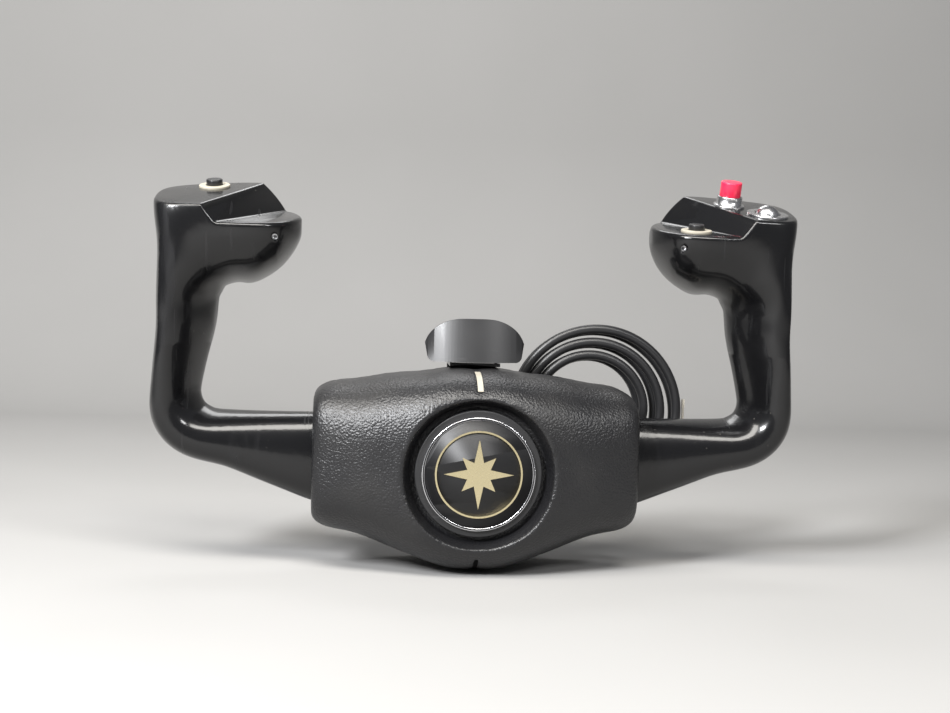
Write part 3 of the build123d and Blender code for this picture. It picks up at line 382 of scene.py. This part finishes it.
def make_finishes():
    return {
        "black_enamel": enamel_finish(),
        "pad_leather": leather_finish(),
        "hub_alloy": metal_finish("hub_alloy", (0.52, 0.52, 0.53), 0.38),
        "steel": metal_finish("steel", (0.55, 0.55, 0.56), 0.26, (1.0, 0.1, 1.0)),
        "black_plastic": smooth_plastic("black_plastic", (0.018, 0.018, 0.019), 0.42),
        "cream_plastic": smooth_plastic("cream_plastic", (0.40, 0.37, 0.30), 0.50, 0.0, 0.20),
        "natural_nylon": smooth_plastic("natural_nylon", (0.70, 0.66, 0.57), 0.40, 0.0, 0.15),
        "medallion_ring_trim": ring_finish(),
        "seam_shadow": seam_finish(),
        "bright_trim": metal_finish("bright_trim", (0.62, 0.62, 0.63), 0.17),
        "medallion_black": smooth_plastic("medallion_black", (0.005, 0.005, 0.006), 0.42),
        "medallion_gold": metal_finish("medallion_gold", (0.80, 0.70, 0.44), 0.20),
        "button_black": smooth_plastic("button_black", (0.015, 0.015, 0.016), 0.32),
        "button_red": smooth_plastic("button_red", (0.86, 0.020, 0.075), 0.30, 0.3, 0.12),
        "clip_gloss": smooth_plastic("clip_gloss", (0.022, 0.022, 0.023), 0.33, 0.12),
        "cable_rubber": rubber_finish(),
        "plug_alloy": metal_finish("plug_alloy", (0.36, 0.37, 0.37), 0.30, (1.0, 1.0, 0.2)),
    }


# Skins: each node's own shape, welded and shaded smooth

def slot_of_node(name):
    for part in frame["record"]["subparts"]:
        if part["node"] == name:
            return part["material_slot"]
    raise KeyError(name)


def welded_mesh(name):
    mesh = NODES[name].data.copy()
    mesh.name = name + "_skin"
    shape = bmesh.new()
    shape.from_mesh(mesh)
    bmesh.ops.remove_doubles(shape, verts=shape.verts, dist=WELD_GAP * MM)
    shape.to_mesh(mesh)
    shape.free()
    mesh.materials.clear()
    return mesh


def calm_neck(mesh):
    """Even out the shading where the grip turns into the head, so the gloss runs smoothly round the bend."""
    zone = []
    for vertex in mesh.vertices:
        x, y, z = (value / MM for value in vertex.co)
        if NECK_SIDE[0] < abs(x) < NECK_SIDE[1] and NECK_HEIGHT[0] < z < NECK_HEIGHT[1]:
            zone.append(vertex.index)
    tree = kdtree.KDTree(len(zone))
    for index in zone:
        tree.insert(mesh.vertices[index].co, index)
    tree.balance()
    own = {index: mesh.vertices[index].normal.copy() for index in zone}
    calm = {}
    for index in zone:
        total = Vector((0.0, 0.0, 0.0))
        for place, other, gap in tree.find_range(mesh.vertices[index].co, NECK_REACH * MM):
            if own[index].dot(own[other]) > NECK_AGREE:
                total += own[other] * math.exp(-((2.0 * gap / (NECK_REACH * MM)) ** 2))
        calm[index] = total.normalized()
    normals = [corner.vector.copy() for corner in mesh.corner_normals]
    for corner in mesh.loops:
        found = calm.get(corner.vertex_index)
        if found is not None and found.dot(normals[corner.index]) > NECK_AGREE:
            normals[corner.index] = found
    mesh.normals_split_custom_set(normals)


def skin(name, finishes, sharp=32.0):
    mesh = welded_mesh(name)
    mesh.shade_smooth()
    mesh.set_sharp_from_angle(angle=math.radians(sharp))
    if name in HORN_NODES:
        calm_neck(mesh)
    mesh.materials.append(finishes[OWN_FINISH.get(name, slot_of_node(name))])
    piece = link(bpy.data.objects.new(name + "_skin", mesh))
    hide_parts(name)
    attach(piece, body_of_node(name))
    return piece


def close_springs(skins):
    """Gives each return spring its own copy of its mesh."""
    for joint in frame["record"]["behaviour"]["joints"]:
        if joint["type"] == "slide":
            spring = skins[joint["name"].replace("_press", "_spring")]
            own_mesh(spring)


# The hub pad: a moulded leather skin over foam

def pad_swell(place):
    """How far the skin stands off its form at this point, in mm: slow unevenness and shallow wrinkles."""
    slow = noise.noise(place * SWELL_SLOW[0])
    medium = noise.noise(place * SWELL_MEDIUM[0] + Vector((4.0, 1.0, 7.0)))
    wrinkle = noise.ridged_multi_fractal(place * SWELL_WRINKLE[0], 1.0, 2.1, 3, 1.0, 2.0)
    return SWELL_SLOW[1] * slow + SWELL_MEDIUM[1] * medium - SWELL_WRINKLE[1] * wrinkle


def pad_freedom(place):
    """0 where the skin is held by the recess, the strips or the back, 1 where it lies free."""
    x, y, z = (value / MM for value in place)
    from_recess = math.hypot(x, z - MEDAL_HEIGHT) - RECESS_RADIUS
    free = min(max(from_recess / RECESS_FADE, 0.0), 1.0)
    free *= min(max((abs(x) - STRIP_HALF) / STRIP_FADE, 0.0), 1.0)
    return free * min(max((HELD_BEHIND - y) / HELD_FADE, 0.0), 1.0)


def soft_pad(finishes):
    """The pad again as an even skin, let go where nothing holds it."""
    rough = link(bpy.data.objects.new("hub_pad_form", welded_mesh("hub_pad")))
    even = rough.modifiers.new("even", "REMESH")
    even.mode = "VOXEL"
    even.voxel_size = PAD_VOXEL * MM
    mesh = bpy.data.meshes.new_from_object(rough.evaluated_get(bpy.context.evaluated_depsgraph_get()))
    rough.modifiers.clear()
    bpy.data.objects.remove(rough)
    shape = bmesh.new()
    shape.from_mesh(mesh)
    for _ in range(PAD_SMOOTHINGS):
        loose = [v for v in shape.verts if pad_freedom(v.co) > 0.0]
        bmesh.ops.smooth_vert(
            shape, verts=loose, factor=0.5, use_axis_x=True, use_axis_y=True, use_axis_z=True,
        )
    shape.normal_update()
    moves = [(v, v.normal * (pad_swell(v.co) * pad_freedom(v.co) * MM)) for v in shape.verts]
    for vertex, move in moves:
        vertex.co += move
    shape.to_mesh(mesh)
    shape.free()
    mesh.name = "hub_pad_leather"
    mesh.materials.clear()
    mesh.materials.append(finishes["pad_leather"])
    mesh.shade_smooth()
    piece = link(bpy.data.objects.new("hub_pad_leather", mesh))
    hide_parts("hub_pad")
    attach(piece, body_of_node("hub_pad"))


# The cable

def ease(share):
    return share * share * (3.0 - 2.0 * share)


def coil_place(turns):
    """Angle, inward step and depth of the winding.

    A pass over the top keeps its lane, and lanes change at the bottom.
    """
    angle = COIL_START - 360.0 * turns
    passed = math.floor((180.0 - angle) / 360.0)
    lane = LANES[max(passed, 0)]
    following = LANES[min(max(passed, 0) + 1, len(LANES) - 1)]
    under = ((180.0 - angle) % 360.0 - 180.0) / 180.0 if passed >= 0 else 0.0
    share = ease(max(under, 0.0))
    step = lane[0] + (following[0] - lane[0]) * share
    depth = lane[1] + (following[1] - lane[1]) * share
    if lane[1] != following[1]:
        step += 0.5 * math.sin(math.pi * max(under, 0.0))
    return math.radians(angle), step, depth


def coil_point(turns):
    angle, step, depth = coil_place(turns)
    loose = (1.0 + math.cos(angle)) / 2.0
    left_over = (COIL_START - COIL_END) / 360.0 + len(LANES) - 1 - turns
    settle = ease(min(max(left_over / 0.3, 0.0), 1.0))
    inward = COIL_PITCH * step * (1.0 + COIL_FAN * loose) + CABLE_RADIUS * loose * depth * settle
    radius = COIL_RADIUS - inward
    x = COIL_CENTRE[0] + radius * math.cos(angle)
    z = COIL_CENTRE[1] + radius * math.sin(angle)
    return (x, COIL_FRONT + COIL_PITCH * depth, z)


def cable_route():
    route = [tuple(at + move for at, move in zip(GLAND_OUTLET, step)) for step in GLAND_LEAD]
    turns = (COIL_START - COIL_END) / 360.0 + len(LANES) - 1
    count = round(turns * TURN_POINTS)
    for index in range(1, count + 1):
        route.append(coil_point(turns * index / count))
    for along in TAIL_STEPS:
        route.append(tuple(at + way * along for at, way in zip(TAIL_TOUCH, TAIL_WAY)))
    return route


def knurl_tree(metal):
    """A node tree that sets rods side by side round a ring."""
    tree = bpy.data.node_groups.new("knurl", "GeometryNodeTree")
    tree.interface.new_socket("Ribs", in_out="INPUT", socket_type="NodeSocketInt")
    tree.interface.new_socket("Ring Radius", in_out="INPUT", socket_type="NodeSocketFloat")
    tree.interface.new_socket("Rib Length", in_out="INPUT", socket_type="NodeSocketFloat")
    tree.interface.new_socket("Geometry", in_out="OUTPUT", socket_type="NodeSocketGeometry")
    source = tree.nodes.new("NodeGroupInput")
    circle = tree.nodes.new("GeometryNodeMeshCircle")
    rod = tree.nodes.new("GeometryNodeMeshCylinder")
    scatter = tree.nodes.new("GeometryNodeInstanceOnPoints")
    real = tree.nodes.new("GeometryNodeRealizeInstances")
    paint = tree.nodes.new("GeometryNodeSetMaterial")
    result = tree.nodes.new("NodeGroupOutput")
    rod.inputs["Vertices"].default_value = RIB_SIDES
    rod.inputs["Radius"].default_value = RIB_RADIUS * MM
    paint.inputs["Material"].default_value = metal
    tree.links.new(source.outputs["Ribs"], circle.inputs["Vertices"])
    tree.links.new(source.outputs["Ring Radius"], circle.inputs["Radius"])
    tree.links.new(source.outputs["Rib Length"], rod.inputs["Depth"])
    tree.links.new(circle.outputs["Mesh"], scatter.inputs["Points"])
    tree.links.new(rod.outputs["Mesh"], scatter.inputs["Instance"])
    tree.links.new(scatter.outputs["Instances"], real.inputs["Geometry"])
    tree.links.new(real.outputs["Geometry"], paint.inputs["Geometry"])
    tree.links.new(paint.outputs["Geometry"], result.inputs["Geometry"])
    return tree


def knurl_ring(finishes):
    """Raised ribs on the plug's coupling ring, between its flutes."""
    tree = knurl_tree(finishes["plug_alloy"])
    worker = link(bpy.data.objects.new("knurl_worker", bpy.data.meshes.new("knurl_worker")))
    stack = worker.modifiers.new("knurl", "NODES")
    stack.node_group = tree
    settings = {
        "Ribs": RING_RIBS,
        "Ring Radius": (RING_RADIUS - RIB_SINK) * MM,
        "Rib Length": (RING_LENGTH - 2.0 * RIB_END_GAP) * MM,
    }
    for item in tree.interface.items_tree:
        if item.in_out == "INPUT":
            stack[item.identifier] = settings[item.name]
    mesh = bpy.data.meshes.new_from_object(worker.evaluated_get(bpy.context.evaluated_depsgraph_get()))
    worker.modifiers.clear()
    bpy.data.objects.remove(worker)
    middle = Vector(TAIL_TOUCH) + Vector(TAIL_WAY) * (RING_START + RING_LENGTH / 2.0)
    turn = Vector(TAIL_WAY).to_track_quat("Z", "Y").to_matrix().to_4x4()
    half_pitch = Matrix.Rotation(math.pi / RING_RIBS, 4, "Z")
    mesh.transform(Matrix.Translation(middle * MM) @ turn @ half_pitch)
    mesh.shade_smooth()
    mesh.set_sharp_from_angle(angle=math.radians(40.0))
    piece = link(bpy.data.objects.new("connector_ring_ribs", mesh))
    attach(piece, "yoke")
    return piece


def lay_cable(finishes, plug_pieces):
    data = bpy.data.curves.new("cable", "CURVE")
    data.dimensions = "3D"
    spline = data.splines.new("NURBS")
    route = cable_route()
    spline.points.add(len(route) - 1)
    for point, place in zip(spline.points, route):
        point.co = (place[0] * MM, place[1] * MM, place[2] * MM, 1.0)
    spline.order_u = 3
    spline.use_endpoint_u = True
    spline.resolution_u = 6
    cable = link(bpy.data.objects.new("cable", data))
    bare = bpy.data.meshes.new_from_object(cable.evaluated_get(bpy.context.evaluated_depsgraph_get()))
    bpy.data.meshes.remove(bare)
    data.bevel_depth = CABLE_RADIUS * MM
    data.bevel_resolution = 5
    data.use_fill_caps = True
    data.materials.append(finishes["cable_rubber"])
    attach(cable, "yoke")
    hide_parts(*CABLE_NODES)


# Studio

def make_stage():
    floor_level = cad_low.z
    rows = [(SWEEP_NEAR, floor_level)]
    for step in range(SWEEP_BEND_STEPS + 1):
        turn = math.radians(90.0 * step / SWEEP_BEND_STEPS)
        y = SWEEP_BEND_START + SWEEP_BEND * math.sin(turn)
        rows.append((y, floor_level + SWEEP_BEND * (1.0 - math.cos(turn))))
    rows.append((SWEEP_BEND_START + SWEEP_BEND, floor_level + SWEEP_RISE))
    shape = bmesh.new()
    lines = []
    for y, z in rows:
        lines.append([shape.verts.new((x, y, z)) for x in (-SWEEP_HALF, SWEEP_HALF)])
    for near, far in zip(lines, lines[1:]):
        shape.faces.new((near[0], near[1], far[1], far[0]))
    mesh = bpy.data.meshes.new("studio_sweep")
    shape.to_mesh(mesh)
    shape.free()
    mesh.shade_smooth()
    finish = Finish("studio_paper", roughness=0.9)
    tone = finish.mix(finish.noise(5.0, 2.0), (0.31, 0.307, 0.30), (0.335, 0.33, 0.325))
    mesh.materials.append(finish.paint(base_color=tone))
    link(bpy.data.objects.new("studio_sweep", mesh))


def soft_light(name, place, target, size, power, colour=(1.0, 1.0, 1.0)):
    data = bpy.data.lights.new(name, "AREA")
    data.shape = "RECTANGLE"
    data.size, data.size_y = size
    data.energy = power
    data.color = colour
    lamp = link(bpy.data.objects.new(name, data))
    lamp.location = place
    lamp.rotation_mode = "QUATERNION"
    lamp.rotation_quaternion = (Vector(target) - Vector(place)).to_track_quat("-Z", "Y")


def light_studio():
    world = bpy.data.worlds.new("studio_world")
    world.use_nodes = True
    backdrop = world.node_tree.nodes["Background"]
    backdrop.inputs["Color"].default_value = (0.80, 0.82, 0.86, 1.0)
    backdrop.inputs["Strength"].default_value = 0.22
    bpy.context.scene.world = world
    soft_light("ceiling", (-0.25, -0.62, 1.20), (0.0, -0.06, 0.05), (1.5, 0.42), 29.0, (1.0, 0.97, 0.92))
    soft_light("window", (-0.80, -0.95, 0.80), (-0.03, -0.06, 0.03), (0.34, 0.42), 34.0, (0.97, 0.98, 1.0))
    soft_light("side", (0.75, -1.10, 0.95), (0.03, -0.06, 0.03), (0.30, 0.30), 7.0)
    soft_light("rim", (0.0, 0.95, 1.20), (0.0, 0.0, 0.08), (0.8, 0.3), 4.0)


aim_camera()
finishes = make_finishes()
soft_pad(finishes)
skins = {name: skin(name, finishes) for name in NODES if name not in CABLE_NODES and name != "hub_pad"}
close_springs(skins)
lay_cable(finishes, [skins[name] for name in PLUG_NODES] + [knurl_ring(finishes)])
make_stage()
light_studio()
bpy.context.scene.view_settings.view_transform = "Standard"
